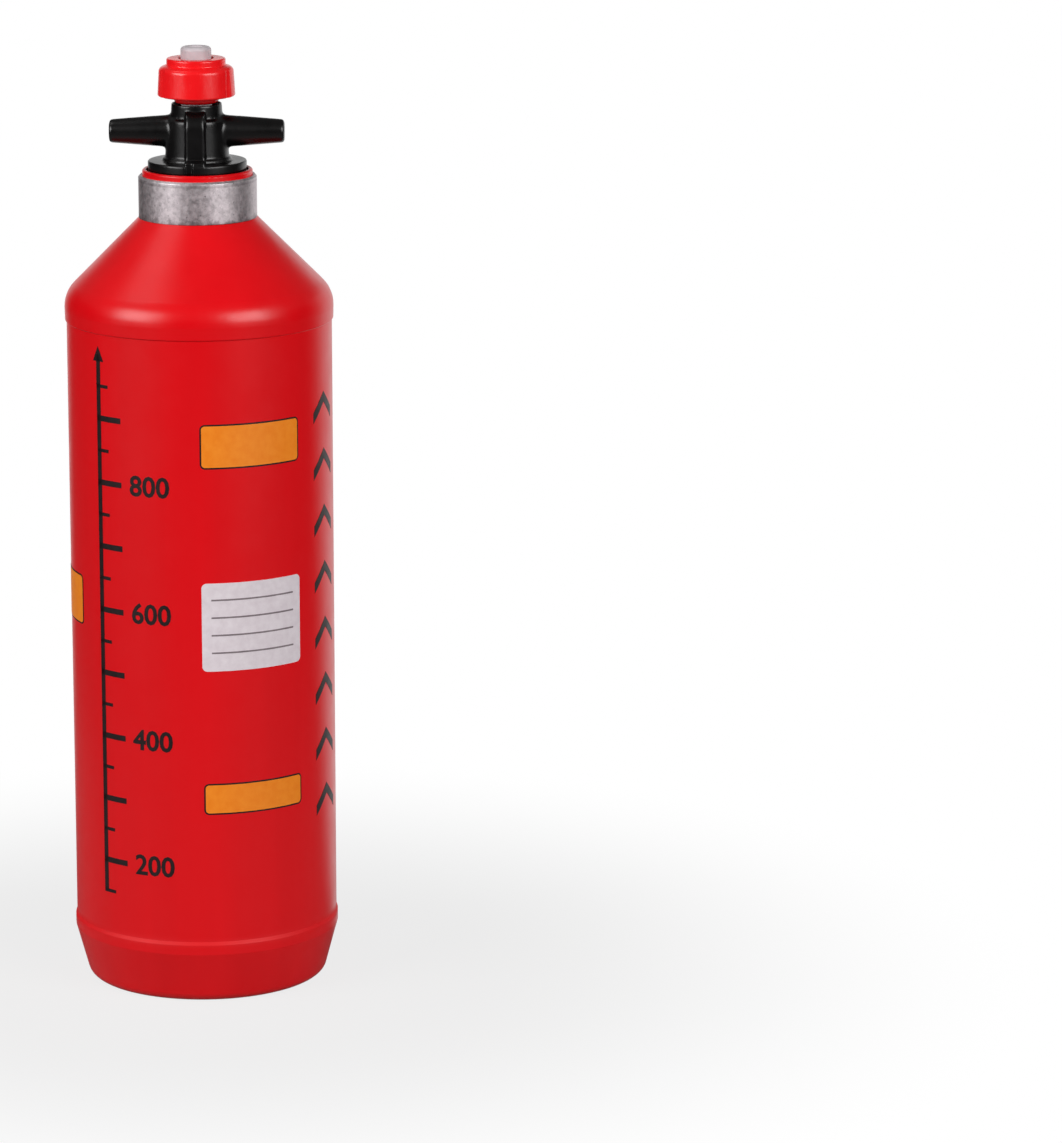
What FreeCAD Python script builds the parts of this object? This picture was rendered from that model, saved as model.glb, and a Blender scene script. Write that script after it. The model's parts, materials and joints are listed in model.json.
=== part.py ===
import FreeCAD
import Part
import Sketcher
import math
import os

# Camping fuel bottle with a screw cap and a push-to-pour valve.
# Millimetres, +Z up, origin at the centre of the base, front towards -Y, wings along X.
# Every piece is drawn in its own frame, its lowest plane at zero, and is then placed on the axis.

# Driving dimensions: name, value
DIMENSIONS = [
    # Bottle wall and base
    ("panel_radius", 41.5),
    ("wall", 1.8),
    ("base_wall", 2.2),
    ("base_draft", 4.1),
    ("base_corner_round", 3.6),
    ("base_ring_width", 6.4),
    ("base_ring_round", 1.0),
    ("recess_slope_width", 4.0),
    ("recess_depth", 3.0),
    ("recess_round", 6.0),
    # Lower bead and upper step round the label panel
    ("bead_proud", 0.4),
    ("bead_height", 16.55),
    ("bead_width", 3.1),
    ("bead_rise", 1.05),
    ("bead_round", 1.5),
    ("panel_height", 191.25),
    ("step_proud", 0.45),
    ("step_rise", 0.4),
    ("shoulder_flare", 0.2),
    ("shoulder_band", 7.9),
    ("shoulder_round", 10.0),
    ("inner_round", 7.0),
    # Cone and neck
    ("cone_height", 23.85),
    ("neck_radius", 17.2),
    ("neck_height", 15.15),
    ("neck_root", 1.8),
    ("lip_width", 1.3),
    ("lip_round_share", 0.55),
    ("lip_edge_share", 0.3),
    ("seat_depth", 1.8),
    ("seat_ledge", 1.95),
    # Neck band
    ("band_thickness", 1.25),
    ("band_height", 13.3),
    ("band_chamfer", 0.6),
    ("band_edge_round", 0.2),
    # Screw thread between cap and neck
    ("thread_pitch", 3.0),
    ("thread_depth", 1.1),
    ("thread_root_width", 1.5),
    ("thread_crest_width", 0.7),
    ("thread_play", 0.25),
    ("neck_thread_turns", 3.0),
    ("neck_thread_start", 4.0),
    ("cap_thread_turns", 2.0),
    # Gasket under the flange
    ("gasket_thickness", 1.5),
    ("gasket_edge_gap", 0.5),
    ("gasket_round", 0.35),
    # Cap: plug, flange, hub and collar
    ("plug_length", 17.0),
    ("plug_chamfer", 0.8),
    ("plug_sleeve_wall", 2.3),
    ("plug_roof", 2.4),
    ("valve_tube_wall", 2.3),
    ("web_thickness", 2.6),
    ("chamber_gap", 1.2),
    ("chamber_room", 8.0),
    ("flange_edge_gap", 0.5),
    ("flange_thickness", 3.0),
    ("flange_round", 0.45),
    ("foot_ring_proud", 0.8),
    ("foot_ring_height", 1.1),
    ("foot_ring_round", 0.35),
    ("hub_draft", 0.55),
    ("hub_step", 1.45),
    ("hub_height", 13.2),
    ("hub_foot_round", 0.4),
    ("hub_top_round", 0.6),
    ("collar_wall", 0.65),
    ("collar_height", 4.65),
    ("collar_foot_round", 0.35),
    ("collar_edge_round", 0.3),
    ("recess_play", 0.2),
    ("recess_floor_gap", 0.3),
    # Cap: wings, ribs and the notch in the flange's front edge
    ("wing_height", 9.05),
    ("wing_reach", 27.25),
    ("wing_root_radius", 5.75),
    ("wing_tip_radius", 3.6),
    ("wing_tip_round", 0.9),
    ("rib_width", 6.0),
    ("rib_proud", 1.55),
    ("rib_drop", 1.9),
    ("rib_slope", 2.4),
    ("rib_round", 6.5),
    ("foot_block_height", 1.05),
    ("foot_block_setback", 0.4),
    ("notch_width", 2.4),
    ("notch_offset", 1.8),
    ("notch_depth", 0.7),
    # Stem
    ("stem_radius", 4.775),
    ("stem_bore_radius", 2.2),
    ("stem_floor", 1.6),
    ("stem_tip_proud", 3.55),
    ("stem_tip_round", 1.1),
    ("stem_mouth_round", 0.6),
    ("rod_radius", 2.2),
    ("rod_tail", 1.6),
    ("cross_hole_radius", 1.5),
    ("cross_hole_gap", 0.5),
    ("press_travel", 2.0),
    ("knob_travel", 2.9),
    ("o_ring_margin", 2.5),
    ("o_ring_groove_width", 1.2),
    ("o_ring_groove_depth", 0.85),
    # Screw thread between knob and stem
    ("lift_pitch", 2.0),
    ("lift_depth", 0.5),
    ("lift_root_width", 0.8),
    ("lift_crest_width", 0.4),
    ("lift_play", 0.15),
    ("stem_thread_turns", 3.5),
    ("knob_thread_turns", 1.5),
    # Valve head, seal and clip
    ("pour_gap", 1.5),
    ("seal_width", 1.9),
    ("seal_thickness", 1.2),
    ("seal_round", 0.2),
    ("head_rim", 0.4),
    ("head_taper", 1.4),
    ("head_thickness", 3.2),
    ("head_round", 0.3),
    ("clip_width", 1.9),
    ("clip_thickness", 0.6),
    ("clip_groove_depth", 0.5),
    ("clip_mouth", 2.6),
    # Return spring
    ("spring_length", 12.0),
    ("spring_rod_gap", 0.75),
    ("spring_wire_radius", 0.45),
    ("spring_turns", 6.5),
    ("spring_end_gap", 0.05),
    # Knob
    ("boss_wall", 1.675),
    ("boss_height", 2.2),
    ("boss_round", 1.5),
    ("skirt_radius", 12.1),
    ("skirt_height", 9.7),
    ("skirt_draft", 0.5),
    ("skirt_round", 1.7),
    ("skirt_edge_round", 0.6),
    ("skirt_wall", 1.7),
    ("skirt_roof", 3.3),
    ("skirt_ledge", 2.4),
    ("ledge_rise", 0.9),
    ("disc_height", 2.1),
    ("disc_foot_round", 0.4),
    ("disc_round", 0.6),
    ("grip_count", 3),
    ("grip_round", 2.4),
    ("grip_depth", 0.85),
    ("knob_seal_height", 1.3),
    ("knob_seal_groove_width", 1.4),
    ("knob_seal_groove_depth", 0.5),
    # Fits and cuts
    ("band_fit", 0.05),
    ("slide_fit", 0.06),
    ("seal_fit", 0.02),
    ("press_fit", 0.02),
    ("overrun", 1.0),
    ("half_share", 0.5),
]

doc = FreeCAD.newDocument("fuel_bottle")
sheet = doc.addObject("Spreadsheet::Sheet", "Sizes")
for row, (alias, number) in enumerate(DIMENSIONS, start=1):
    sheet.set(f"A{row}", alias)
    sheet.set(f"B{row}", str(number))
    sheet.setAlias(f"B{row}", alias)
doc.recompute()


class Size:
    """A size with its value and the sheet expression that gives it."""

    def __init__(self, text, value):
        self.text = text
        self.value = value

    def __add__(self, other):
        return Size(f"({self.text} + {other.text})", self.value + other.value)

    def __sub__(self, other):
        return Size(f"({self.text} - {other.text})", self.value - other.value)

    def __mul__(self, other):
        return Size(f"({self.text} * {other.text})", self.value * other.value)


class Sheet:
    """The sheet's cells, by alias."""

    def __getattr__(self, alias):
        return Size(f"Sizes.{alias}", float(sheet.get(alias)))


d = Sheet()
ZERO = Size("0", 0.0)


def bind(thing, name, size):
    setattr(thing, name, size.value)
    thing.setExpression(name, size.text)


def new_body(label):
    body = doc.addObject("PartDesign::Body", label)
    body.Label = label
    return body


def origin_feature(body, role):
    return next(item for item in body.Origin.OriginFeatures if item.Role == role)


def place_at(body, height):
    body.setExpression("Placement.Base.z", height.text)


def new_sketch(body, name, role="XZ_Plane", rise=None):
    """A sketch on one of the body's own planes, moved up the plane by rise."""
    sketch = body.newObject("Sketcher::SketchObject", name)
    sketch.AttachmentSupport = [(origin_feature(body, role), "")]
    sketch.MapMode = "FlatFace"
    if rise:
        sketch.AttachmentOffset.Base = FreeCAD.Vector(0, rise.value, 0)
        sketch.setExpression("AttachmentOffset.Base.y", rise.text)
    return sketch


def fix_point(sketch, item, end, across, up):
    """Hold a point at its distances from the sketch's two axes."""
    for kind, axis, size in (("DistanceX", -2, across), ("DistanceY", -1, up)):
        if size is ZERO:
            sketch.addConstraint(Sketcher.Constraint("PointOnObject", item, end, axis))
        else:
            index = sketch.addConstraint(Sketcher.Constraint(kind, -1, 1, item, end, size.value))
            sketch.setExpression(f"Constraints[{index}]", size.text)


def corner_ends(before, corner, after, radius):
    """Where a round of this radius leaves the two sides of a corner, its centre, and its turn."""
    to_before = (before - corner).normalize()
    to_after = (after - corner).normalize()
    half = to_before.getAngle(to_after) / 2
    reach = radius / math.tan(half)
    middle = (to_before + to_after).normalize()
    centre = corner + middle * (radius / math.sin(half))
    turns_left = (to_before * -1).cross(to_after).z > 0
    return corner + to_before * reach, corner + to_after * reach, centre, turns_left


def outline(sketch, corners):
    """A closed outline; a corner is (across, up) or (across, up, round)."""
    points = [FreeCAD.Vector(corner[0].value, corner[1].value, 0) for corner in corners]
    count = len(points)
    ends = []
    for i, corner in enumerate(corners):
        if len(corner) == 2:
            ends.append((points[i], points[i], None, None))
        else:
            neighbours = (points[i - 1], points[i], points[(i + 1) % count])
            ends.append(corner_ends(*neighbours, corner[2].value))
    sides = []
    for i in range(count):
        segment = Part.LineSegment(ends[i][1], ends[(i + 1) % count][0])
        sides.append(sketch.addGeometry(segment, False))
    for i, corner in enumerate(corners):
        side_in, side_out = sides[i - 1], sides[i]
        if len(corner) == 2:
            sketch.addConstraint(Sketcher.Constraint("Coincident", side_in, 2, side_out, 1))
            fix_point(sketch, side_out, 1, corner[0], corner[1])
            continue
        start, finish, centre, turns_left = ends[i]
        first, last = (start, finish) if turns_left else (finish, start)
        angles = [math.atan2(point.y - centre.y, point.x - centre.x) for point in (first, last)]
        circle = Part.Circle(centre, FreeCAD.Vector(0, 0, 1), corner[2].value)
        arc = sketch.addGeometry(Part.ArcOfCircle(circle, angles[0], angles[1]), False)
        arc_in, arc_out = (1, 2) if turns_left else (2, 1)
        sketch.addConstraint(Sketcher.Constraint("Tangent", side_in, 2, arc, arc_in))
        sketch.addConstraint(Sketcher.Constraint("Tangent", arc, arc_out, side_out, 1))
        index = sketch.addConstraint(Sketcher.Constraint("Radius", arc, corner[2].value))
        sketch.setExpression(f"Constraints[{index}]", corner[2].text)
        mark = sketch.addGeometry(Part.Point(points[i]), True)
        fix_point(sketch, mark, 1, corner[0], corner[1])
        sketch.addConstraint(Sketcher.Constraint("PointOnObject", mark, 1, side_in))
        sketch.addConstraint(Sketcher.Constraint("PointOnObject", mark, 1, side_out))


def revolve(body, name, corners, axis="V_Axis", rise=None):
    sketch = new_sketch(body, f"{name}_outline", rise=rise)
    outline(sketch, corners)
    feature = body.newObject("PartDesign::Revolution", name)
    feature.Profile = sketch
    feature.ReferenceAxis = (sketch, [axis])
    feature.Angle = 360
    return feature


def ridge(body, name, wall, height, start, pitch, turns, root_width, crest_width):
    """A right-hand thread ridge of a height on a wall's radius; start is the middle of its lower end.

    The section goes as far into the wall as it stands out of it, so that the two join cleanly.
    """
    root_half = root_width - crest_width * d.half_share
    crest_half = crest_width * d.half_share
    sketch = new_sketch(body, f"{name}_outline")
    outline(sketch, [
        (wall - height, start - root_half),
        (wall + height, start - crest_half),
        (wall + height, start + crest_half),
        (wall - height, start + root_half),
    ])
    feature = body.newObject("PartDesign::AdditiveHelix", name)
    feature.Profile = sketch
    feature.ReferenceAxis = (sketch, ["V_Axis"])
    feature.Mode = "pitch-turns-angle"
    bind(feature, "Pitch", pitch)
    bind(feature, "Turns", turns)
    return feature


def cut_round(body, name, corners):
    """A groove turned out of the body about its axis."""
    sketch = new_sketch(body, f"{name}_outline")
    outline(sketch, corners)
    feature = body.newObject("PartDesign::Groove", name)
    feature.Profile = sketch
    feature.ReferenceAxis = (sketch, ["V_Axis"])
    feature.Angle = 360
    return feature


def cut_up(body, name, sketch, height):
    """A pocket cut upwards from the body's lowest plane."""
    feature = body.newObject("PartDesign::Pocket", name)
    feature.Profile = sketch
    feature.Reversed = True
    bind(feature, "Length", height)
    return feature


def circle(sketch, across, up, radius):
    item = sketch.addGeometry(Part.Circle(FreeCAD.Vector(across.value, up.value, 0),
                                          FreeCAD.Vector(0, 0, 1), radius.value), False)
    fix_point(sketch, item, 3, across, up)
    index = sketch.addConstraint(Sketcher.Constraint("Radius", item, radius.value))
    sketch.setExpression(f"Constraints[{index}]", radius.text)


def round_again(body, name, feature):
    """The feature once more, opposite itself, round the body's own axis."""
    pattern = body.newObject("PartDesign::PolarPattern", name)
    pattern.Originals = [feature]
    pattern.Axis = (origin_feature(body, "Z_Axis"), [""])
    pattern.Angle = 360
    pattern.Occurrences = 2
    body.Tip = pattern
    return pattern


def pad_across(body, name, width, corners):
    """A plate of a width across X, standing on the body's axis plane towards +Y."""
    sketch = new_sketch(body, f"{name}_outline", role="YZ_Plane")
    outline(sketch, corners)
    feature = body.newObject("PartDesign::Pad", name)
    feature.Profile = sketch
    feature.SideType = "Symmetric"
    bind(feature, "Length", width)
    return feature


# Heights on the axis, each from the pieces below it
bead_top = d.bead_height + d.bead_width
panel_foot = bead_top + d.bead_rise
panel_top = panel_foot + d.panel_height
shoulder_top = panel_top + d.step_rise + d.shoulder_band
neck_foot = shoulder_top + d.cone_height
neck_top = neck_foot + d.neck_height
seat_height = neck_top - d.seat_depth
neck_thread_foot = neck_foot - d.neck_root + d.neck_thread_start
plug_foot = seat_height + d.gasket_thickness - d.plug_length
head_foot = plug_foot - d.seal_thickness - d.head_thickness
stem_foot = head_foot - d.rod_tail

# Heights on the cap, from its plug's lower face
flange_top = d.plug_length + d.flange_thickness
hub_top = flange_top + d.hub_height
collar_top = hub_top + d.collar_height
spring_top = d.web_thickness + d.spring_length
chamber_top = spring_top + d.chamber_room
recess_floor = collar_top - d.press_travel - d.recess_floor_gap

# Heights on the knob, from its boss's lower face
knob_foot = plug_foot + collar_top
skirt_top = d.boss_height + d.skirt_height
knob_top = skirt_top + d.disc_height
knob_seal_top = d.knob_seal_height + d.knob_seal_groove_width * d.half_share
lift_start = knob_seal_top + d.knob_travel + d.lift_play + d.lift_root_width

# Heights on the stem, from the lower end of its rod
rod_length = plug_foot + spring_top - stem_foot
stem_length = knob_foot + knob_top + d.stem_tip_proud - stem_foot
o_ring_height = plug_foot + chamber_top + d.press_travel + d.o_ring_margin - stem_foot

# Radii that several pieces share
band_radius = d.neck_radius + d.band_thickness
seat_radius = d.neck_radius - d.lip_width
neck_bore = seat_radius - d.seat_ledge
plug_radius = neck_bore - d.thread_play - d.thread_depth
lift_crest = d.stem_radius + d.lift_depth
knob_bore = lift_crest + d.lift_play
boss_radius = knob_bore + d.boss_wall
collar_recess = boss_radius + d.recess_play
collar_radius = collar_recess + d.collar_wall
hub_top_radius = collar_radius + d.hub_step
hub_foot_radius = hub_top_radius + d.hub_draft
foot_ring_radius = hub_foot_radius + d.foot_ring_proud
flange_radius = seat_radius - d.flange_edge_gap
guide_radius = d.stem_radius + d.slide_fit
chamber_radius = guide_radius + d.chamber_gap
seat_hole = d.rod_radius + d.pour_gap
seal_radius = seat_hole + d.seal_width
clip_groove = d.rod_radius - d.clip_groove_depth
o_ring_groove = d.stem_radius - d.o_ring_groove_depth
knob_seal_groove = knob_bore + d.knob_seal_groove_depth


def make_bottle_shell():
    """Red bottle: ring base with a raised middle, sunk label panel, cone shoulder and threaded neck."""
    body = new_body("bottle_shell")
    inner_radius = d.panel_radius - d.wall
    corner = d.panel_radius - d.base_draft
    ring_inner = corner - d.base_ring_width
    recess_radius = ring_inner - d.recess_slope_width
    step_radius = d.panel_radius + d.step_proud
    revolve(body, "wall", [
        (ZERO, d.recess_depth),
        (recess_radius, d.recess_depth, d.recess_round),
        (ring_inner, ZERO, d.base_ring_round),
        (corner, ZERO, d.base_corner_round),
        (d.panel_radius + d.bead_proud, d.bead_height, d.bead_round),
        (d.panel_radius + d.bead_proud, bead_top),
        (d.panel_radius, panel_foot),
        (d.panel_radius, panel_top),
        (step_radius, panel_top + d.step_rise),
        (step_radius + d.shoulder_flare, shoulder_top, d.shoulder_round),
        (band_radius, neck_foot),
        (d.neck_radius, neck_foot),
        (d.neck_radius, neck_top, d.lip_width * d.lip_round_share),
        (seat_radius, neck_top, d.lip_width * d.lip_edge_share),
        (seat_radius, seat_height),
        (neck_bore, seat_height),
        (neck_bore, neck_foot - d.neck_root),
        (inner_radius, shoulder_top, d.inner_round),
        (inner_radius, d.bead_height, d.inner_round),
        (corner - d.wall, d.base_wall, d.base_corner_round),
        (ring_inner, d.base_wall, d.base_ring_round),
        (recess_radius, d.recess_depth + d.base_wall, d.recess_round),
        (ZERO, d.recess_depth + d.base_wall),
    ])
    ridge(body, "neck_thread", neck_bore, ZERO - d.thread_depth, neck_thread_foot,
          d.thread_pitch, d.neck_thread_turns, d.thread_root_width, d.thread_crest_width)
    return body


def make_neck_band():
    """Metal ring round the neck, on the cone's upper edge."""
    body = new_body("neck_band")
    inner = d.neck_radius + d.band_fit
    revolve(body, "ring", [
        (inner, ZERO),
        (band_radius, ZERO, d.band_edge_round),
        (band_radius, d.band_height - d.band_chamfer, d.band_edge_round),
        (band_radius - d.band_chamfer, d.band_height),
        (inner, d.band_height),
    ])
    place_at(body, neck_foot)
    return body


def make_cap_gasket():
    """Flat rubber ring between the flange and the neck's ledge."""
    body = new_body("cap_gasket")
    inner = plug_radius + d.slide_fit
    outer = seat_radius - d.gasket_edge_gap
    revolve(body, "ring", [
        (inner, ZERO, d.gasket_round),
        (outer, ZERO, d.gasket_round),
        (outer, d.gasket_thickness, d.gasket_round),
        (inner, d.gasket_thickness, d.gasket_round),
    ])
    place_at(body, seat_height)
    return body


def make_cap_body():
    """Black screw cap: threaded plug, flange, hub, collar, two wings and two ribs."""
    body = new_body("cap_body")
    revolve(body, "turned", [
        (ZERO, ZERO),
        (plug_radius - d.plug_chamfer, ZERO),
        (plug_radius, d.plug_chamfer),
        (plug_radius, d.plug_length),
        (flange_radius, d.plug_length, d.flange_round),
        (flange_radius, flange_top, d.flange_round),
        (foot_ring_radius, flange_top),
        (foot_ring_radius, flange_top + d.foot_ring_height, d.foot_ring_round),
        (hub_foot_radius, flange_top + d.foot_ring_height, d.hub_foot_round),
        (hub_top_radius, hub_top, d.hub_top_round),
        (collar_radius, hub_top, d.collar_foot_round),
        (collar_radius, collar_top, d.collar_edge_round),
        (ZERO, collar_top),
    ])
    wing = revolve(body, "wing", [
        (ZERO, ZERO),
        (d.wing_reach, ZERO),
        (d.wing_reach, d.wing_tip_radius, d.wing_tip_round),
        (ZERO, d.wing_root_radius),
    ], axis="H_Axis", rise=flange_top + d.wing_height)
    round_again(body, "wings", wing)

    rib_foot = flange_top - d.flange_round
    rib_top = collar_top - d.rib_drop
    rib_reach = hub_top_radius + d.rib_proud
    rib = pad_across(body, "rib", d.rib_width, [
        (ZERO, rib_foot),
        (rib_reach, rib_foot),
        (rib_reach, rib_top - d.rib_slope, d.rib_round),
        (collar_radius, rib_top),
        (ZERO, rib_top),
    ])
    round_again(body, "ribs", rib)
    block_top = flange_top + d.foot_block_height
    block_reach = flange_radius - d.foot_block_setback
    block = pad_across(body, "foot_block", d.rib_width, [
        (ZERO, rib_foot),
        (block_reach, rib_foot),
        (block_reach, block_top, d.foot_ring_round),
        (ZERO, block_top),
    ])
    round_again(body, "foot_blocks", block)

    cut_round(body, "valve_bore", [
        (ZERO, ZERO - d.overrun),
        (seat_hole, ZERO - d.overrun),
        (seat_hole, d.web_thickness),
        (chamber_radius, d.web_thickness),
        (chamber_radius, chamber_top),
        (guide_radius, chamber_top),
        (guide_radius, recess_floor),
        (collar_recess, recess_floor, d.boss_round),
        (collar_recess, collar_top + d.overrun),
        (ZERO, collar_top + d.overrun),
    ])
    valve_tube = chamber_radius + d.valve_tube_wall
    sleeve_inner = plug_radius - d.plug_sleeve_wall
    core_top = d.plug_length - d.plug_roof
    cut_round(body, "plug_core", [
        (valve_tube, ZERO - d.overrun),
        (sleeve_inner, ZERO - d.overrun),
        (sleeve_inner, core_top),
        (valve_tube, core_top),
    ])

    notch_sketch = new_sketch(body, "notch_outline", role="XY_Plane")
    notch_half = d.notch_width * d.half_share
    outline(notch_sketch, [
        (ZERO - d.notch_offset - notch_half, ZERO - flange_radius - d.overrun),
        (notch_half - d.notch_offset, ZERO - flange_radius - d.overrun),
        (notch_half - d.notch_offset, ZERO - block_reach + d.notch_depth),
        (ZERO - d.notch_offset - notch_half, ZERO - block_reach + d.notch_depth),
    ])
    cut_up(body, "notch", notch_sketch, block_top + d.overrun)

    ridge(body, "cap_thread", plug_radius, d.thread_depth,
          neck_thread_foot - plug_foot + d.thread_pitch * d.half_share,
          d.thread_pitch, d.cap_thread_turns, d.thread_root_width, d.thread_crest_width)
    place_at(body, plug_foot)
    return body


def make_valve_stem():
    """Hollow pouring tube on a thin rod, with cross holes, a ring groove and the knob's thread."""
    body = new_body("valve_stem")
    bore_floor = rod_length + d.stem_floor
    clip_foot = d.rod_tail - d.clip_thickness - d.press_fit
    ring_half = d.o_ring_groove_width * d.half_share
    revolve(body, "turned", [
        (ZERO, ZERO),
        (d.rod_radius, ZERO),
        (d.rod_radius, clip_foot),
        (clip_groove, clip_foot),
        (clip_groove, d.rod_tail),
        (d.rod_radius, d.rod_tail),
        (d.rod_radius, rod_length),
        (d.stem_radius, rod_length),
        (d.stem_radius, o_ring_height - ring_half),
        (o_ring_groove, o_ring_height - ring_half),
        (o_ring_groove, o_ring_height + ring_half),
        (d.stem_radius, o_ring_height + ring_half),
        (d.stem_radius, stem_length, d.stem_tip_round),
        (d.stem_bore_radius, stem_length, d.stem_mouth_round),
        (d.stem_bore_radius, bore_floor),
        (ZERO, bore_floor),
    ])
    hole_sketch = new_sketch(body, "cross_hole_outline")
    circle(hole_sketch, ZERO, bore_floor + d.cross_hole_gap + d.cross_hole_radius, d.cross_hole_radius)
    hole = body.newObject("PartDesign::Pocket", "cross_hole")
    hole.Profile = hole_sketch
    hole.SideType = "Symmetric"
    bind(hole, "Length", d.stem_radius + d.stem_radius + d.overrun)
    holes = round_again(body, "cross_holes", hole)
    holes.Angle = 90
    ridge(body, "stem_thread", d.stem_radius, d.lift_depth, knob_foot - stem_foot + lift_start,
          d.lift_pitch, d.stem_thread_turns, d.lift_root_width, d.lift_crest_width)
    place_at(body, stem_foot)
    return body


def make_ring(label, inner, outer, height):
    """Rubber ring of round section between two radii, its middle at a height."""
    body = new_body(label)
    section = (outer - inner) * d.half_share
    sketch = new_sketch(body, "section_outline")
    circle(sketch, inner + section, section, section)
    feature = body.newObject("PartDesign::Revolution", "ring")
    feature.Profile = sketch
    feature.ReferenceAxis = (sketch, ["V_Axis"])
    feature.Angle = 360
    place_at(body, height - section)
    return body


def make_valve_head():
    """Tapered disc under the plug, with a hole for the stem's rod."""
    body = new_body("valve_head")
    hole = d.rod_radius + d.press_fit
    rim = seal_radius + d.head_rim
    revolve(body, "disc", [
        (hole, ZERO),
        (rim - d.head_taper, ZERO, d.head_round),
        (rim, d.head_thickness, d.head_round),
        (hole, d.head_thickness),
    ])
    place_at(body, head_foot)
    return body


def make_valve_seal():
    """Rubber washer on the valve head, pressed against the plug's lower face."""
    body = new_body("valve_seal")
    revolve(body, "washer", [
        (d.rod_radius + d.press_fit, ZERO),
        (seal_radius, ZERO, d.seal_round),
        (seal_radius, d.seal_thickness, d.seal_round),
        (d.rod_radius + d.press_fit, d.seal_thickness),
    ])
    place_at(body, head_foot + d.head_thickness)
    return body


def make_head_clip():
    """Open spring clip in the groove at the rod's lower end, under the valve head."""
    body = new_body("head_clip")
    inner = clip_groove + d.press_fit
    outer = inner + d.clip_width
    revolve(body, "washer", [
        (inner, ZERO),
        (outer, ZERO),
        (outer, d.clip_thickness),
        (inner, d.clip_thickness),
    ])
    mouth_sketch = new_sketch(body, "mouth_outline", role="XY_Plane")
    mouth_half = d.clip_mouth * d.half_share
    outline(mouth_sketch, [
        (ZERO, ZERO - mouth_half),
        (outer + d.overrun, ZERO - mouth_half),
        (outer + d.overrun, mouth_half),
        (ZERO, mouth_half),
    ])
    cut_up(body, "mouth", mouth_sketch, d.clip_thickness + d.overrun)
    place_at(body, head_foot - d.clip_thickness)
    return body


def make_return_spring():
    """Coil round the rod, between the cap's web and the stem's shoulder."""
    body = new_body("return_spring")
    mean = d.rod_radius + d.spring_rod_gap + d.spring_wire_radius
    sketch = new_sketch(body, "wire_outline")
    circle(sketch, mean, d.spring_wire_radius, d.spring_wire_radius)
    coil = body.newObject("PartDesign::AdditiveHelix", "coil")
    coil.Profile = sketch
    coil.ReferenceAxis = (sketch, ["V_Axis"])
    coil.Mode = "height-turns-angle"
    end_room = d.spring_wire_radius + d.spring_end_gap
    rise = d.spring_length - end_room - end_room
    bind(coil, "Height", rise)
    bind(coil, "Turns", d.spring_turns)
    place_at(body, plug_foot + d.web_thickness + d.spring_end_gap)
    gap = rise.value / d.spring_turns.value - d.spring_wire_radius.value * 2
    print(f"return_spring: least gap between its turns {gap:.2f} mm")
    return body


def make_lock_knob():
    """Red knob: boss, hollow skirt with shallow grips, top disc and a threaded bore."""
    body = new_body("lock_knob")
    skirt_top_radius = d.skirt_radius - d.skirt_draft
    hollow_top = skirt_top - d.skirt_roof
    seal_half = d.knob_seal_groove_width * d.half_share
    revolve(body, "turned", [
        (knob_bore, ZERO),
        (boss_radius, ZERO, d.boss_round),
        (boss_radius, hollow_top),
        (skirt_top_radius - d.skirt_wall, hollow_top),
        (d.skirt_radius - d.skirt_wall, d.boss_height),
        (d.skirt_radius, d.boss_height, d.skirt_edge_round),
        (skirt_top_radius, skirt_top - d.ledge_rise, d.skirt_round),
        (skirt_top_radius - d.skirt_ledge, skirt_top, d.disc_foot_round),
        (skirt_top_radius - d.skirt_ledge, knob_top, d.disc_round),
        (knob_bore, knob_top, d.disc_foot_round),
        (knob_bore, d.knob_seal_height + seal_half),
        (knob_seal_groove, d.knob_seal_height + seal_half),
        (knob_seal_groove, d.knob_seal_height - seal_half),
        (knob_bore, d.knob_seal_height - seal_half),
    ])
    grip_sketch = new_sketch(body, "grip_outline", role="XY_Plane")
    circle(grip_sketch, ZERO, d.skirt_radius + d.grip_round - d.grip_depth, d.grip_round)
    grip = cut_up(body, "grip", grip_sketch, knob_top + d.overrun)
    grips = round_again(body, "grips", grip)
    grips.setExpression("Occurrences", d.grip_count.text)
    ridge(body, "knob_thread", knob_bore, ZERO - d.lift_depth, lift_start + d.lift_pitch * d.half_share,
          d.lift_pitch, d.knob_thread_turns, d.lift_root_width, d.lift_crest_width)
    place_at(body, knob_foot)
    return body


PIECES = [
    make_bottle_shell(),
    make_neck_band(),
    make_cap_gasket(),
    make_cap_body(),
    make_valve_stem(),
    make_ring("stem_o_ring", o_ring_groove + d.seal_fit, guide_radius - d.seal_fit,
              stem_foot + o_ring_height),
    make_return_spring(),
    make_valve_head(),
    make_valve_seal(),
    make_head_clip(),
    make_lock_knob(),
    make_ring("knob_seal", d.stem_radius + d.seal_fit, knob_seal_groove - d.seal_fit,
              knob_foot + d.knob_seal_height),
]
doc.recompute()

failed = [item.Name for item in doc.Objects if "Invalid" in item.State or "Error" in item.State]
failed += [piece.Label for piece in PIECES if piece.Shape.isNull() or not piece.Shape.isValid()]
if failed:
    raise RuntimeError(f"these objects did not build: {failed}")

os.makedirs("parts", exist_ok=True)
for piece in PIECES:
    box = piece.Shape.BoundBox
    print(f"{piece.Label}: {len(piece.Shape.Solids)} solid, {piece.Shape.Volume:.1f} mm3,"
          f" z {box.ZMin:.2f} to {box.ZMax:.2f}, reach {box.XMax:.2f}")
    piece.Shape.exportStep(f"parts/{piece.Label}.step")
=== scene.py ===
import json
import math

import bmesh
import bpy
from mathutils import Matrix, Vector


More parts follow.
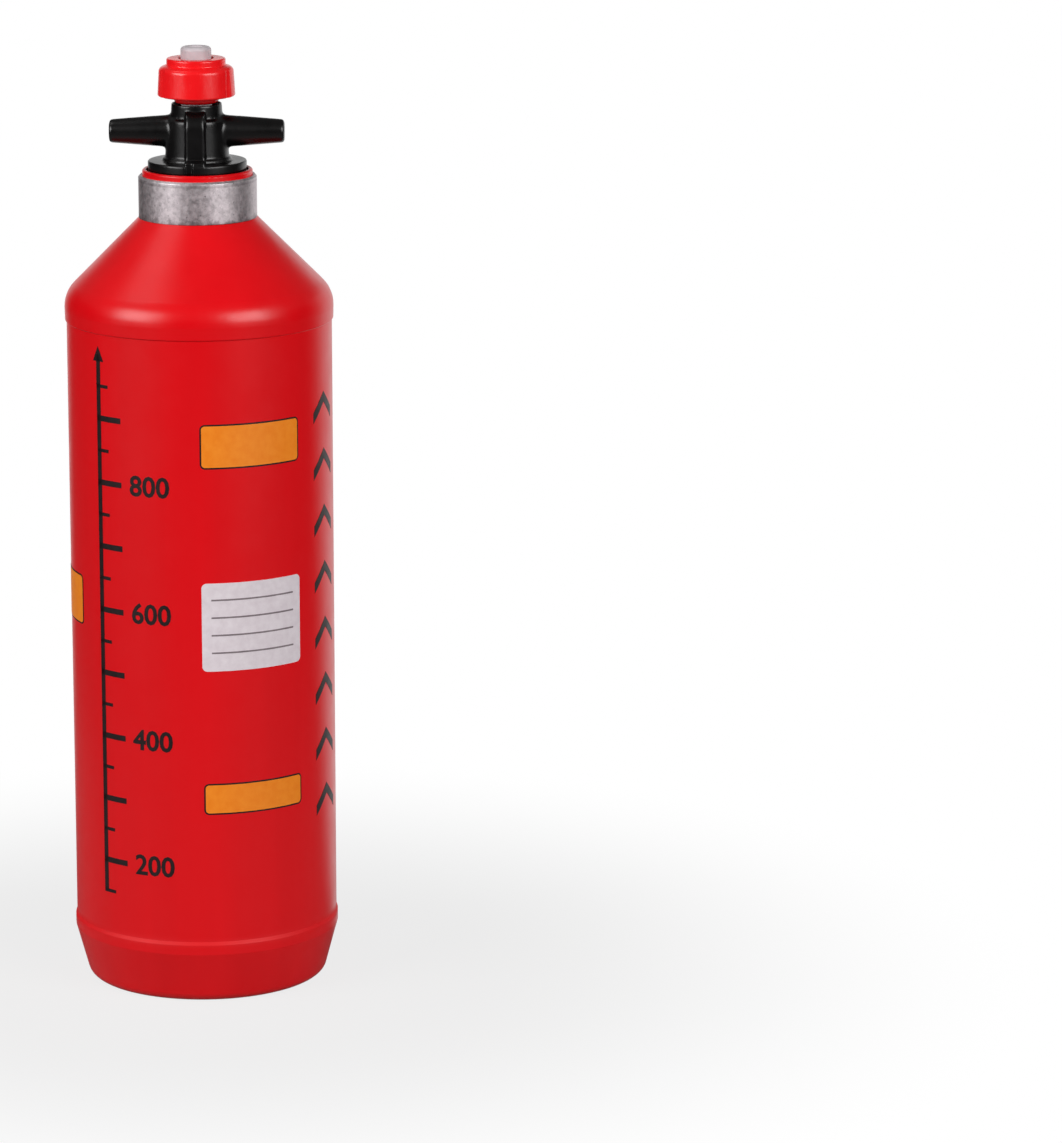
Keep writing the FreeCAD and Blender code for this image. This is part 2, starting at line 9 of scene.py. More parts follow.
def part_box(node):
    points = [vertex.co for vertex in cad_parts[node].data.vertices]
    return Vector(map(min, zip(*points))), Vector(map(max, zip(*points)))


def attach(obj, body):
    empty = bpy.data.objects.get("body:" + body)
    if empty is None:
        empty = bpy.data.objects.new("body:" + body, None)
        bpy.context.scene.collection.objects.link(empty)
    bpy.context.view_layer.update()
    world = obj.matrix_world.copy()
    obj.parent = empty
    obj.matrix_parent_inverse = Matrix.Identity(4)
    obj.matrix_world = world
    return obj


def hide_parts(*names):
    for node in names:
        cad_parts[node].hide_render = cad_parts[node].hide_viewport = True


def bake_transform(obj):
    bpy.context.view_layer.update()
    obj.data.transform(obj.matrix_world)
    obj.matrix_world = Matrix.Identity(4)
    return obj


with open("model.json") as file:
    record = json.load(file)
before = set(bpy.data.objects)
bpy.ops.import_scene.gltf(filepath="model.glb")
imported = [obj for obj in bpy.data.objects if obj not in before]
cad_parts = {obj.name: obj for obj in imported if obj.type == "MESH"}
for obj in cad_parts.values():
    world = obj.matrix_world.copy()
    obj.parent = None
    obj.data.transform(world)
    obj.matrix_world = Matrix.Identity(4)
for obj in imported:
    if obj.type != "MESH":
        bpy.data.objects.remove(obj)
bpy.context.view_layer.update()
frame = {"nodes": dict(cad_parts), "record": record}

# Camping fuel bottle, dressed. Metres, +Z up, the front towards -Y, the cap's wings along X.

NODES = frame["nodes"]
MM = 0.001

# Camera, fitted to the photograph
CAMERA_PLACE = Vector((0.10385, -1.727, 0.5232))
CAMERA_TILT = math.radians(77.189)
CAMERA_LENS = 176.306
CAMERA_NEAR = 0.05
CAMERA_FAR = 60.0

# Studio: a paper sweep whose tones change with the distance from the bottle, lit by soft lamps
PAPER_ALBEDO = 0.35
STUDIO_ALBEDO = 0.16
PAPER_NEAR = 0.22
PAPER_FAR = 0.50
SHADOW_WHITE_SHARE = 0.8
SHADOW_NEAR = 0.08
SHADOW_FAR = 0.27
MIRROR_START = 0.64
MIRROR_END = 0.90
MIRROR_TURN = math.radians(14)
MIRROR_WAY = (math.sin(MIRROR_TURN), math.cos(MIRROR_TURN), 0)
SWEEP_RADIUS = 6.0
SWEEP_BEND = 3.0
SWEEP_STEPS = 12
SWEEP_SIDES = 96
AMBIENT = 0.11
LIGHT_TARGET = Vector((0.0, 0.0, 0.17))
LIGHT_DISTANCE = 1.5

# Lamps: name, degrees to the right of the front, degrees up, width, height, radiance
SOFTBOXES = [
    ("left_softbox", -53, 23, 0.9, 0.8, 7.1),
    ("right_softbox", 47, 23, 0.9, 0.8, 6.5),
    ("upper_softbox", -92, 63, 0.6, 0.6, 1.4),
]

# Print on the label panel
INK_PROUD = 0.06 * MM
INK_DEPTH = 0.14 * MM
INK_STEP = 1.2 * MM
ARC_STEPS = 6

# Fill scale, in arc to the right of the front and height
FILL_TOP = 206.0 * MM
FILL_STEP = 20.2 * MM
GAUGE_LEFT = -34 * MM
GAUGE_WEIGHT = 1.8 * MM
LONG_TICK = 10 * MM
SHORT_TICK = 5 * MM
SHORT_TICK_SHARE = 0.6
NUMERAL_HEIGHT = 9 * MM
NUMERAL_CURVE_STEPS = 3
NUMERAL_BOLD = 0.2 * MM
LEAST_CORNER_OPENING = 0.5
NUMERAL_GAP = 3 * MM
FILL_HALF_STEPS = 20
FIRST_HALF_STEP = 3
HALF_STEP_VOLUME = 50
HALF_STEPS_PER_TICK = 2
HALF_STEPS_PER_NUMBER = 4
MARK_HALF = 2.4 * MM

# Other print: left, foot, right and top
ORANGE_BARS = [(2 * MM, 172 * MM, 36 * MM, 186 * MM), (2 * MM, 62 * MM, 36 * MM, 72 * MM),
               (-66 * MM, 118 * MM, -44 * MM, 134 * MM)]
BAR_CORNER = 1.6 * MM
BAR_EDGE = 0.5 * MM
NOTE_PANEL = (2 * MM, 108 * MM, 36 * MM, 136 * MM)
NOTE_RULES = 4
NOTE_MARGIN = 3 * MM
RULE_WEIGHT = 0.5 * MM
CHEVRON_MIDDLES = (51 * MM, 130 * MM)
CHEVRON_FOOT = 56 * MM
CHEVRON_STEP = 18 * MM
CHEVRON_ROWS = 8
CHEVRON_WIDTH = 14 * MM
CHEVRON_RISE = 6 * MM
CHEVRON_WEIGHT = 3.4 * MM

# Smoothing of the moulded cap
CAP_VOXEL = 0.24 * MM
CAP_KEEP_SHARE = 0.3
SMOOTH_SHARE = 0.5
FLANGE_THICKNESS = 3.0 * MM
COLLAR_INSIDE = 7.75 * MM
HUB_TOP = 275.15 * MM
SKIN_TURNS = 3
EDGE_TURNS = 12
EDGE_CLEARANCE = 0.2 * MM
STEP_TURNS = 30
STEP_REACH = 1.7 * MM
RIB_TURNS = 40
RIB_HALF = 3.0 * MM
RIB_EDGE_REACH = 1.3 * MM
RIB_INSIDE = 9.3 * MM
ROOT_TURNS = 70
ROOT_INSIDE = 7.9 * MM
ROOT_OUTSIDE = 13.3 * MM
ROOT_CLEARANCE = 1.5 * MM

# Lower bead, as shares of the bottle's height: where its scuffing starts, is full, ends and is gone
BEAD_SHARES = (0.072, 0.076, 0.080, 0.084)

BLACK = (0, 0, 0, 1)
WHITE = (1, 1, 1, 1)


def srgb(red, green, blue):
    """A colour given as 0 to 255 display values, in linear light with full alpha."""
    def linear(value):
        share = value / 255
        return share / 12.92 if share <= 0.04045 else ((share + 0.055) / 1.055) ** 2.4
    return (linear(red), linear(green), linear(blue), 1.0)


class Shader:
    """A material with one principled surface and short calls to wire textures into it."""

    def __init__(self, name):
        self.material = bpy.data.materials.new(name)
        self.material.use_nodes = True
        self.tree = self.material.node_tree
        self.surface = self.tree.nodes["Principled BSDF"]
        self.coordinates = self.tree.nodes.new("ShaderNodeTexCoord").outputs

    def set(self, **sockets):
        for name, value in sockets.items():
            self.surface.inputs[name.replace("_", " ")].default_value = value

    def join(self, output, node, socket):
        self.tree.links.new(output, node.inputs[socket])

    def stretched(self, stretch):
        node = self.tree.nodes.new("ShaderNodeMapping")
        node.inputs["Scale"].default_value = stretch
        self.join(self.coordinates["Object"], node, "Vector")
        return node.outputs["Vector"]

    def noise(self, scale, detail=4.0, roughness=0.55, stretch=(1, 1, 1), distortion=0.0):
        node = self.tree.nodes.new("ShaderNodeTexNoise")
        node.inputs["Scale"].default_value = scale
        node.inputs["Detail"].default_value = detail
        node.inputs["Roughness"].default_value = roughness
        node.inputs["Distortion"].default_value = distortion
        self.join(self.stretched(stretch), node, "Vector")
        return node.outputs["Fac"]

    def ramp(self, factor, stops):
        """A colour ramp; a stop is (position, colour)."""
        stops = list(stops)
        node = self.tree.nodes.new("ShaderNodeValToRGB")
        elements = node.color_ramp.elements
        while len(elements) < len(stops):
            elements.new(1.0)
        for element, (position, colour) in zip(elements, stops):
            element.position = position
            element.color = colour
        self.join(factor, node, "Fac")
        return node.outputs["Color"]

    def span(self, factor, low, high, start=0.3, end=0.7):
        """The factor's middle stretch, mapped to low and high."""
        node = self.tree.nodes.new("ShaderNodeMapRange")
        node.inputs["From Min"].default_value = start
        node.inputs["From Max"].default_value = end
        node.inputs["To Min"].default_value = low
        node.inputs["To Max"].default_value = high
        self.join(factor, node, "Value")
        return node.outputs["Result"]

    def height(self):
        """How far up its piece a point lies, from 0 at the foot to 1 at the top."""
        node = self.tree.nodes.new("ShaderNodeSeparateXYZ")
        self.join(self.coordinates["Generated"], node, "Vector")
        return node.outputs["Z"]

    def add(self, first, second):
        node = self.tree.nodes.new("ShaderNodeMath")
        self.tree.links.new(first, node.inputs[0])
        self.tree.links.new(second, node.inputs[1])
        return node.outputs["Value"]

    def multiply(self, base, factor):
        node = self.tree.nodes.new("ShaderNodeMix")
        node.data_type = "RGBA"
        node.blend_type = "MULTIPLY"
        node.inputs["Factor"].default_value = 1.0
        colour_a, colour_b = [socket for socket in node.inputs if socket.type == "RGBA"]
        self.tree.links.new(base, colour_a)
        self.tree.links.new(factor, colour_b)
        return next(socket for socket in node.outputs if socket.type == "RGBA")

    def colour(self, output):
        self.join(output, self.surface, "Base Color")

    def rough(self, output):
        self.join(output, self.surface, "Roughness")

    def bump(self, height, distance, strength=1.0):
        """A bump on top of the bumps made before it."""
        node = self.tree.nodes.new("ShaderNodeBump")
        node.inputs["Strength"].default_value = strength
        node.inputs["Distance"].default_value = distance
        self.join(height, node, "Height")
        before = self.surface.inputs["Normal"].links
        if before:
            self.tree.links.new(before[0].from_socket, node.inputs["Normal"])
        self.join(node.outputs["Normal"], self.surface, "Normal")


def red_bottle():
    """Blown plastic: satin, with faint upright flow marks, a very fine skin and a scuffed lower bead."""
    shader = Shader("red_bottle")
    flow = shader.noise(55, detail=3, stretch=(1, 1, 0.06))
    low, high = (0.76, 0.0008, 0.0044, 1), (0.83, 0.0012, 0.0056, 1)
    shader.colour(shader.ramp(flow, [(0.3, low), (0.7, high)]))
    cloud = shader.noise(120, detail=4)
    bead = shader.ramp(shader.height(), zip(BEAD_SHARES, (BLACK, WHITE, WHITE, BLACK)))
    shader.rough(shader.add(shader.span(cloud, 0.28, 0.34), shader.span(bead, 0.0, 0.32, 0.0, 1.0)))
    shader.bump(shader.noise(700, detail=2), 0.02 * MM, 0.5)
    shader.bump(flow, 0.15 * MM, 0.35)
    shader.set(Specular_IOR_Level=0.42)
    return shader.material


def red_knob():
    """Glossy moulded plastic, brighter than the bottle, with faint scuffs."""
    shader = Shader("red_knob")
    cloud = shader.noise(180, detail=3)
    low, high = (0.94, 0.0070, 0.0100, 1), (1.00, 0.0090, 0.0130, 1)
    shader.colour(shader.ramp(cloud, [(0.3, low), (0.7, high)]))
    scuffs = shader.noise(900, detail=5, stretch=(1, 1, 0.25))
    shader.rough(shader.span(scuffs, 0.2, 0.3))
    shader.bump(scuffs, 0.02 * MM, 0.4)
    shader.set(Specular_IOR_Level=0.5)
    return shader.material


def black_cap():
    """Moulded black plastic with a fine spark-eroded grain."""
    shader = Shader("black_cap")
    grain = shader.noise(1500, detail=3)
    cloud = shader.noise(140, detail=4)
    low, high = (0.0012, 0.0009, 0.0010, 1), (0.0024, 0.0018, 0.0020, 1)
    shader.colour(shader.ramp(cloud, [(0.3, low), (0.7, high)]))
    shader.rough(shader.span(cloud, 0.26, 0.33))
    shader.bump(grain, 0.03 * MM, 0.35)
    shader.set(Specular_IOR_Level=0.5)
    return shader.material


def band_metal():
    """Dull plated metal: mottled grey, faint upright marks, painted shade for a rolled step near the top,
    and darker towards the foot.
    """
    shader = Shader("band_metal")
    cloud = shader.noise(620, detail=7, roughness=0.72)
    dark, middle, light = srgb(192, 183, 186), srgb(220, 211, 214), srgb(240, 231, 234)
    tone = shader.ramp(cloud, [(0.3, dark), (0.5, middle), (0.7, light)])
    marks = shader.noise(900, detail=4, stretch=(1, 1, 0.1))
    streaks = shader.ramp(marks, [(0.3, (0.94, 0.93, 0.94, 1)), (0.6, WHITE)])
    specks = shader.noise(1300, detail=3, roughness=0.6)
    pits = shader.ramp(specks, [(0.29, (0.5, 0.48, 0.49, 1)), (0.37, WHITE)])
    patches = shader.noise(300, detail=6, roughness=0.65)
    # darker towards the foot, with an uneven edge from the patches noise
    level = shader.add(shader.height(), shader.span(patches, -0.15, 0.15))
    foot_darkening = shader.ramp(level, [(0.0, (0.5, 0.48, 0.49, 1)), (0.07, (0.8, 0.78, 0.79, 1)), (0.16, WHITE)])
    # painted shade: a darker ring near the top, standing for the shade of a rolled step below the top edge
    step_shade_tone = (0.82, 0.80, 0.81, 1)
    line = shader.ramp(shader.height(), [(0.855, WHITE), (0.88, step_shade_tone), (0.9, step_shade_tone), (0.925, WHITE)])
    for layer in (streaks, pits, foot_darkening, line):
        tone = shader.multiply(tone, layer)
    shader.colour(tone)
    shader.rough(shader.span(cloud, 0.40, 0.54))
    shader.bump(marks, 0.03 * MM, 0.3)
    shader.bump(shader.noise(900, detail=5, roughness=0.65), 0.05 * MM, 0.6)
    shader.set(Metallic=1.0)
    return shader.material


def white_stem():
    """Milky plastic that lets some light through."""
    shader = Shader("white_stem")
    cloud = shader.noise(220, detail=3)
    # grey-white plastic, with a faint pink tint painted in for red light bounced from the knob
    shader.colour(shader.ramp(cloud, [(0.3, srgb(200, 190, 194)), (0.7, srgb(212, 202, 206))]))
    shader.rough(shader.span(cloud, 0.36, 0.5))
    shader.bump(shader.noise(1200, detail=3, stretch=(1, 1, 0.4)), 0.02 * MM, 0.4)
    shader.set(Subsurface_Weight=0.3, Subsurface_Scale=1.2 * MM, Subsurface_Radius=(1.0, 0.9, 0.9))
    return shader.material


def spring_steel():
    """Drawn wire with fine lines along it."""
    shader = Shader("spring_steel")
    lines = shader.noise(1600, detail=4, stretch=(0.3, 0.3, 1))
    shader.colour(shader.ramp(lines, [(0.3, srgb(150, 150, 152)), (0.7, srgb(205, 205, 208))]))
    shader.rough(shader.span(lines, 0.22, 0.36))
    shader.bump(lines, 0.02 * MM, 0.5)
    shader.set(Metallic=1.0)
    return shader.material


def rubber():
    """Soft black rubber with a dusty bloom."""
    shader = Shader("rubber")
    bloom = shader.noise(500, detail=6, roughness=0.65)
    shader.colour(shader.ramp(bloom, [(0.35, (0.009, 0.009, 0.009, 1)), (0.75, (0.030, 0.029, 0.028, 1))]))
    shader.rough(shader.span(bloom, 0.6, 0.8))
    shader.bump(bloom, 0.04 * MM, 0.5)
    return shader.material


def ink(name, low, high):
    """Screen print: a thin even film with a slightly cloudy tone."""
    shader = Shader(name)
    cloud = shader.noise(420, detail=5)
    shader.colour(shader.ramp(cloud, [(0.3, low), (0.7, high)]))
    shader.rough(shader.span(cloud, 0.4, 0.5))
    shader.bump(shader.noise(2200, detail=2), 0.008 * MM, 0.5)
    shader.set(Specular_IOR_Level=0.4)
    return shader.material


SLOT_FINISHES = {
    "red_bottle": red_bottle(),
    "red_knob": red_knob(),
    "black_cap": black_cap(),
    "band_metal": band_metal(),
    "white_stem": white_stem(),
    "spring_steel": spring_steel(),
    "rubber": rubber(),
}
BLACK_INK = ink("black_ink", srgb(22, 12, 14), srgb(32, 18, 20))
ORANGE_INK = ink("orange_ink", srgb(250, 134, 20), srgb(255, 146, 30))
WHITE_INK = ink("white_ink", srgb(226, 214, 220), srgb(238, 228, 233))
GREY_INK = ink("grey_ink", srgb(120, 108, 112), srgb(140, 128, 132))


def finish_nodes():
    """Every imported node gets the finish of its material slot."""
    for part in frame["record"]["subparts"]:
        node = NODES[part["node"]]
        node.data.materials.clear()
        node.data.materials.append(SLOT_FINISHES[part["material_slot"]])


def link(name, mesh, material):
    """A new piece in the scene, with its material."""
    piece = bpy.data.objects.new(name, mesh)
    bpy.context.scene.collection.objects.link(piece)
    mesh.materials.append(material)
    return piece


def apply_modifiers(piece):
    """The piece's mesh with its modifiers worked in."""
    depsgraph = bpy.context.evaluated_depsgraph_get()
    mesh = bpy.data.meshes.new_from_object(piece.evaluated_get(depsgraph))
    piece.modifiers.clear()
    piece.data = mesh


def voxel_copy(name, node, voxel, material):
    """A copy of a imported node's form, remade with even small faces that can be smoothed."""
    mesh = NODES[node].data.copy()
    mesh.materials.clear()
    piece = link(name, mesh, material)
    remesh = piece.modifiers.new("voxels", "REMESH")
    remesh.mode = "VOXEL"
    remesh.voxel_size = voxel
    apply_modifiers(piece)
    return piece


def smooth_zone(piece, name, turns, inside):
    """Smooth the vertices for which inside(place) holds."""
    zone = piece.vertex_groups.new(name=name)
    zone.add([vertex.index for vertex in piece.data.vertices if inside(vertex.co)], 1.0, "REPLACE")
    smooth = piece.modifiers.new(name, "SMOOTH")
    smooth.factor = SMOOTH_SHARE
    smooth.iterations = turns
    smooth.vertex_group = name


def make_cap_shell():
    """The cap as moulded: the solid's form with soft blends where wings, ribs and collar meet."""
    cap = voxel_copy("cap_shell", "cap_body", CAP_VOXEL, SLOT_FINISHES["black_cap"])
    flange_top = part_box("cap_gasket")[1].z + FLANGE_THICKNESS
    smooth_zone(cap, "skin", SKIN_TURNS, lambda place: True)
    smooth_zone(cap, "edges", EDGE_TURNS,
                lambda place: place.z > flange_top + EDGE_CLEARANCE and place.xy.length > COLLAR_INSIDE)
    smooth_zone(cap, "step", STEP_TURNS,
                lambda place: abs(place.z - HUB_TOP) < STEP_REACH and place.xy.length > COLLAR_INSIDE)
    smooth_zone(cap, "rib_edges", RIB_TURNS,
                lambda place: abs(abs(place.x) - RIB_HALF) < RIB_EDGE_REACH and abs(place.y) > RIB_INSIDE
                and place.z > flange_top + ROOT_CLEARANCE)
    smooth_zone(cap, "wing_roots", ROOT_TURNS,
                lambda place: abs(place.x) > abs(place.y) and ROOT_INSIDE < place.xy.length < ROOT_OUTSIDE
                and place.z > flange_top + ROOT_CLEARANCE)
    thin = cap.modifiers.new("thin", "DECIMATE")
    thin.ratio = CAP_KEEP_SHARE
    apply_modifiers(cap)
    cap.data.shade_smooth()
    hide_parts("cap_body")
    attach(cap, "cap")


def make_spring():
    """The return spring: a steel copy of its node's form that stands in for the node."""
    mesh = NODES["return_spring"].data.copy()
    mesh.materials.clear()
    spring = link("spring_wire", mesh, SLOT_FINISHES["spring_steel"])
    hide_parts("return_spring")
    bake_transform(spring)


def bar(left, foot, right, top):
    """A rectangle's corners."""
    return [(left, foot), (right, foot), (right, top), (left, top)]


def rounded_bar(left, foot, right, top, radius):
    """A rectangle whose corners are quarter circles."""
    corners = [(right - radius, foot + radius, -90), (right - radius, top - radius, 0),
               (left + radius, top - radius, 90), (left + radius, foot + radius, 180)]
    points = []
    for x, z, start in corners:
        for step in range(ARC_STEPS + 1):
            angle = math.radians(start + 90 * step / ARC_STEPS)
            points.append((x + radius * math.cos(angle), z + radius * math.sin(angle)))
    return points


def chevron(middle, foot, width, rise, weight):
    """An arrowhead of even weight that points up."""
    half = width / 2
    return [(middle - half, foot), (middle, foot + rise), (middle + half, foot),
            (middle + half, foot + weight), (middle, foot + rise + weight), (middle - half, foot + weight)]


def numeral(text, left, middle, height):
    """The flat outline of a number, as a mesh in the plane of the unrolled panel."""
    letters = bpy.data.curves.new("numeral", "FONT")
    letters.body = text
    letters.size = height
    letters.align_y = "CENTER"
    letters.resolution_u = NUMERAL_CURVE_STEPS
    item = bpy.data.objects.new("numeral", letters)
    bpy.context.scene.collection.objects.link(item)
    depsgraph = bpy.context.evaluated_depsgraph_get()
    mesh = bpy.data.meshes.new_from_object(item.evaluated_get(depsgraph))
    bpy.data.objects.remove(item)
    mesh.transform(Matrix.Translation((left, middle, 0)))
    return mesh


def embolden(flat, weight):
    """Move the edge of flat faces outwards; a sharp corner moves only a little further."""
    sides = {}
    for edge in flat.edges:
        if edge.is_boundary:
            first, second = edge.verts
            side = (second.co - first.co).cross(Vector((0, 0, 1))).normalized()
            outwards = first.co - edge.link_faces[0].calc_center_median()
            if side.dot(outwards) < 0:
                side.negate()
            for vertex in edge.verts:
                sides.setdefault(vertex, []).append(side)
    for vertex, (one, other) in sides.items():
        vertex.co += (one + other) / max(1 + one.dot(other), LEAST_CORNER_OPENING) * weight


def panel_radius():
    """The label panel's radius, felt from the front at half the bottle's height."""
    shell = NODES["bottle_shell"]
    middle = (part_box("bottle_shell")[0].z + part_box("bottle_shell")[1].z) / 2
    _, place, _, _ = shell.ray_cast((0, -1, middle), (0, 1, 0))
    return -place.y


def print_layer(name, material, outlines, numbers=(), proud=INK_PROUD):
    """A film of ink: flat outlines, unrolled sideways and upwards, bent round the panel and thickened."""
    flat = bmesh.new()
    for mesh in numbers:
        flat.from_mesh(mesh)
    embolden(flat, NUMERAL_BOLD)
    for outline in outlines:
        flat.faces.new([flat.verts.new((x, z, 0)) for x, z in outline])
    sides = [vertex.co.x for vertex in flat.verts]
    for step in range(math.ceil(min(sides) / INK_STEP), math.floor(max(sides) / INK_STEP) + 1):
        geometry = flat.verts[:] + flat.edges[:] + flat.faces[:]
        bmesh.ops.bisect_plane(flat, geom=geometry, plane_co=(step * INK_STEP, 0, 0), plane_no=(1, 0, 0))
    base = panel_radius()
    for vertex in flat.verts:
        turn, height = vertex.co.x / base, vertex.co.y
        vertex.co = ((base + proud) * math.sin(turn), -(base + proud) * math.cos(turn), height)
    mesh = bpy.data.meshes.new(name)
    flat.to_mesh(mesh)
    flat.free()
    film = link(name, mesh, material)
    thickness = film.modifiers.new("film", "SOLIDIFY")
    thickness.thickness = INK_DEPTH
    thickness.offset = -1
    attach(film, "bottle")


def make_gauge():
    """A plain fill scale in millilitres: a spine, long and short ticks, numbers and an arrowhead."""
    foot = FILL_TOP - (FILL_HALF_STEPS - FIRST_HALF_STEP) * FILL_STEP / 2
    outlines = [bar(GAUGE_LEFT, foot, GAUGE_LEFT + GAUGE_WEIGHT, FILL_TOP)]
    numbers = []
    for half in range(FIRST_HALF_STEP, FILL_HALF_STEPS):
        level = FILL_TOP - (FILL_HALF_STEPS - half) * FILL_STEP / 2
        long = half % HALF_STEPS_PER_TICK == 0
        reach = LONG_TICK if long else SHORT_TICK
        weight = GAUGE_WEIGHT if long else GAUGE_WEIGHT * SHORT_TICK_SHARE
        outlines.append(bar(GAUGE_LEFT, level - weight / 2, GAUGE_LEFT + reach, level + weight / 2))
        if half % HALF_STEPS_PER_NUMBER == 0:
            left = GAUGE_LEFT + LONG_TICK + NUMERAL_GAP
            numbers.append(numeral(str(half * HALF_STEP_VOLUME), left, level, NUMERAL_HEIGHT))
    mark = GAUGE_LEFT + GAUGE_WEIGHT / 2
    outlines.append([(mark - MARK_HALF, FILL_TOP - MARK_HALF), (mark + MARK_HALF, FILL_TOP - MARK_HALF),
                     (mark, FILL_TOP + MARK_HALF)])
    print_layer("fill_gauge", BLACK_INK, outlines, numbers)


def inset(place, margin):
    """A rectangle with each side moved in."""
    left, foot, right, top = place
    return (left + margin, foot + margin, right - margin, top - margin)


def make_orange_bars():
    """Blank orange bars with a black edge."""
    edges = [rounded_bar(*place, BAR_CORNER) for place in ORANGE_BARS]
    insides = [rounded_bar(*inset(place, BAR_EDGE), BAR_CORNER - BAR_EDGE) for place in ORANGE_BARS]
    print_layer("bar_edges", BLACK_INK, edges)
    print_layer("orange_bars", ORANGE_INK, insides, proud=2 * INK_PROUD)


def make_note_panel():
    """A blank white panel to write on, with grey rules."""
    left, foot, right, top = NOTE_PANEL
    print_layer("note_panel", WHITE_INK, [rounded_bar(*NOTE_PANEL, BAR_CORNER)])
    gap = (top - foot) / (NOTE_RULES + 1)
    rules = [bar(left + NOTE_MARGIN, foot + gap * row, right - NOTE_MARGIN, foot + gap * row + RULE_WEIGHT)
             for row in range(1, NOTE_RULES + 1)]
    print_layer("note_rules", GREY_INK, rules, proud=2 * INK_PROUD)


def make_chevrons():
    """Columns of arrowheads that point to the cap, on the right and at the back."""
    feet = [CHEVRON_FOOT + CHEVRON_STEP * row for row in range(CHEVRON_ROWS)]
    outlines = [chevron(middle, foot, CHEVRON_WIDTH, CHEVRON_RISE, CHEVRON_WEIGHT)
                for middle in CHEVRON_MIDDLES for foot in feet]
    print_layer("chevrons", BLACK_INK, outlines)


def math_node(tree, operation, first, second):
    node = tree.nodes.new("ShaderNodeMath")
    node.operation = operation
    tree.links.new(first, node.inputs[0])
    tree.links.new(second, node.inputs[1])
    return node.outputs[0]


def smooth_step(tree, value, start, end, low=0.0, high=1.0):
    node = tree.nodes.new("ShaderNodeMapRange")
    node.interpolation_type = "SMOOTHSTEP"
    node.inputs["From Min"].default_value = start
    node.inputs["From Max"].default_value = end
    node.inputs["To Min"].default_value = low
    node.inputs["To Max"].default_value = high
    tree.links.new(value, node.inputs["Value"])
    return node.outputs["Result"]


def sweep_material():
    """White paper: white where the camera sees it, and behind the bottle also in gloss and through
    clear pieces, with the bottle's own soft shadow kept round its foot."""
    material = bpy.data.materials.new("sweep")
    material.use_nodes = True
    tree = material.node_tree
    tree.nodes.clear()
    place = tree.nodes.new("ShaderNodeTexCoord").outputs["Object"]
    reach = tree.nodes.new("ShaderNodeVectorMath")
    reach.operation = "LENGTH"
    tree.links.new(place, reach.inputs[0])
    white = smooth_step(tree, reach.outputs["Value"], SHADOW_NEAR, SHADOW_FAR, SHADOW_WHITE_SHARE, 1.0)
    way = tree.nodes.new("ShaderNodeVectorMath")
    way.operation = "NORMALIZE"
    tree.links.new(place, way.inputs[0])
    facing = tree.nodes.new("ShaderNodeVectorMath")
    facing.operation = "DOT_PRODUCT"
    facing.inputs[1].default_value = MIRROR_WAY
    tree.links.new(way.outputs["Vector"], facing.inputs[0])
    behind = smooth_step(tree, facing.outputs["Value"], MIRROR_START, MIRROR_END)
    path = tree.nodes.new("ShaderNodeLightPath").outputs
    mirrored = math_node(tree, "MAXIMUM", path["Is Glossy Ray"], path["Is Transmission Ray"])
    mirrored = math_node(tree, "MULTIPLY", mirrored, behind)
    seen = math_node(tree, "MAXIMUM", path["Is Camera Ray"], mirrored)
    paper = tree.nodes.new("ShaderNodeBsdfDiffuse")
    tone = smooth_step(tree, reach.outputs["Value"], PAPER_NEAR, PAPER_FAR, PAPER_ALBEDO, STUDIO_ALBEDO)
    tree.links.new(tone, paper.inputs["Color"])
    glow = tree.nodes.new("ShaderNodeEmission")
    mix = tree.nodes.new("ShaderNodeMixShader")
    tree.links.new(math_node(tree, "MULTIPLY", seen, white), mix.inputs[0])
    tree.links.new(paper.outputs[0], mix.inputs[1])
    tree.links.new(glow.outputs[0], mix.inputs[2])
    output = tree.nodes.new("ShaderNodeOutputMaterial")
    tree.links.new(mix.outputs[0], output.inputs["Surface"])
    return material


def ring_points(radius, height):
    """The points of a level ring of the sweep."""
    turns = [math.tau * side / SWEEP_SIDES for side in range(SWEEP_SIDES)]
    return [(radius * math.cos(turn), radius * math.sin(turn), height) for turn in turns]


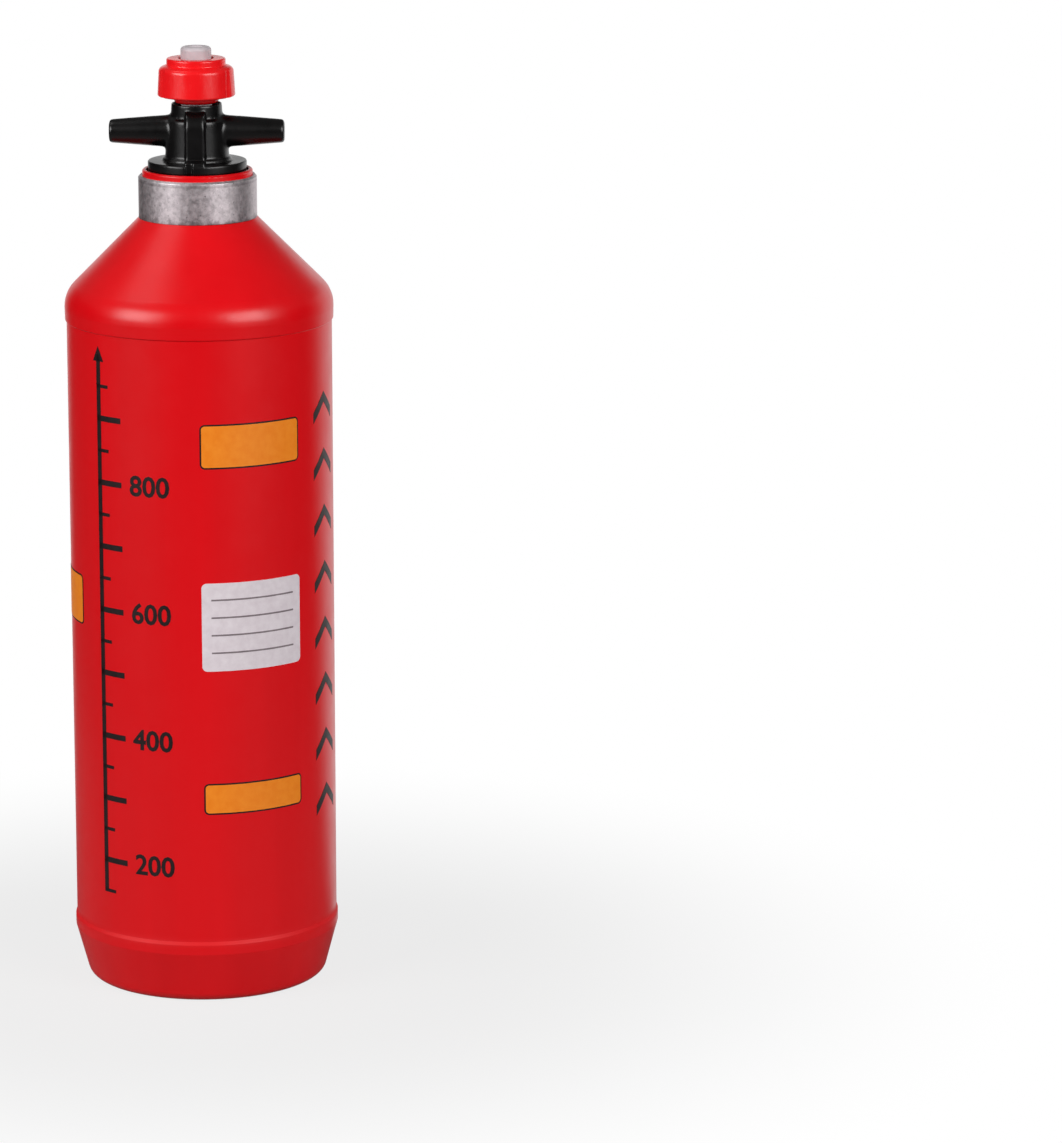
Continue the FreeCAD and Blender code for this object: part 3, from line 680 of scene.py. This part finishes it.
def make_sweep():
    """A wide round floor whose rim curves up into a low wall."""
    rings = [(SWEEP_RADIUS - SWEEP_BEND / SWEEP_STEPS, 0.0), (SWEEP_RADIUS, 0.0)]
    for step in range(1, SWEEP_STEPS + 1):
        angle = math.radians(90 * step / SWEEP_STEPS)
        rings.append((SWEEP_RADIUS + SWEEP_BEND * math.sin(angle), SWEEP_BEND * (1 - math.cos(angle))))
    sides = range(SWEEP_SIDES)
    points = [point for radius, height in rings for point in ring_points(radius, height)]
    faces = [tuple(sides)]
    for ring in range(len(rings) - 1):
        for side in sides:
            following = (side + 1) % SWEEP_SIDES
            low, high = ring * SWEEP_SIDES, (ring + 1) * SWEEP_SIDES
            faces.append((low + side, high + side, high + following, low + following))
    mesh = bpy.data.meshes.new("sweep")
    mesh.from_pydata(points, [], faces)
    mesh.shade_smooth()
    link("sweep", mesh, sweep_material())


def make_world():
    """The dim light of the studio's walls and ceiling."""
    world = bpy.data.worlds.new("studio")
    bpy.context.scene.world = world
    world.use_nodes = True
    back = world.node_tree.nodes["Background"]
    back.inputs["Color"].default_value = WHITE
    back.inputs["Strength"].default_value = AMBIENT


def softbox(name, azimuth, elevation, width, height, radiance):
    """A rectangular lamp that faces the bottle; azimuth 0 is in front and grows to the right."""
    lamp = bpy.data.lights.new(name, "AREA")
    lamp.shape = "RECTANGLE"
    lamp.size = width
    lamp.size_y = height
    lamp.energy = radiance * math.pi * width * height
    turn, rise = math.radians(azimuth), math.radians(elevation)
    back = Vector((math.sin(turn) * math.cos(rise), -math.cos(turn) * math.cos(rise), math.sin(rise)))
    item = bpy.data.objects.new(name, lamp)
    bpy.context.scene.collection.objects.link(item)
    item.location = LIGHT_TARGET + back * LIGHT_DISTANCE
    item.rotation_mode = "QUATERNION"
    item.rotation_quaternion = (-back).to_track_quat("-Z", "Y")


def make_lights():
    """Every lamp of the table."""
    for numbers in SOFTBOXES:
        softbox(*numbers)


def make_camera():
    """The photograph's viewpoint."""
    camera = bpy.data.cameras.new("camera")
    camera.lens = CAMERA_LENS
    camera.clip_start = CAMERA_NEAR
    camera.clip_end = CAMERA_FAR
    item = bpy.data.objects.new("camera", camera)
    item.location = CAMERA_PLACE
    item.rotation_euler = (CAMERA_TILT, 0, 0)
    bpy.context.scene.collection.objects.link(item)
    bpy.context.scene.camera = item


finish_nodes()
make_cap_shell()
make_spring()
make_gauge()
make_orange_bars()
make_note_panel()
make_chevrons()
make_sweep()
make_world()
make_lights()
make_camera()
bpy.context.scene.view_settings.view_transform = "Standard"
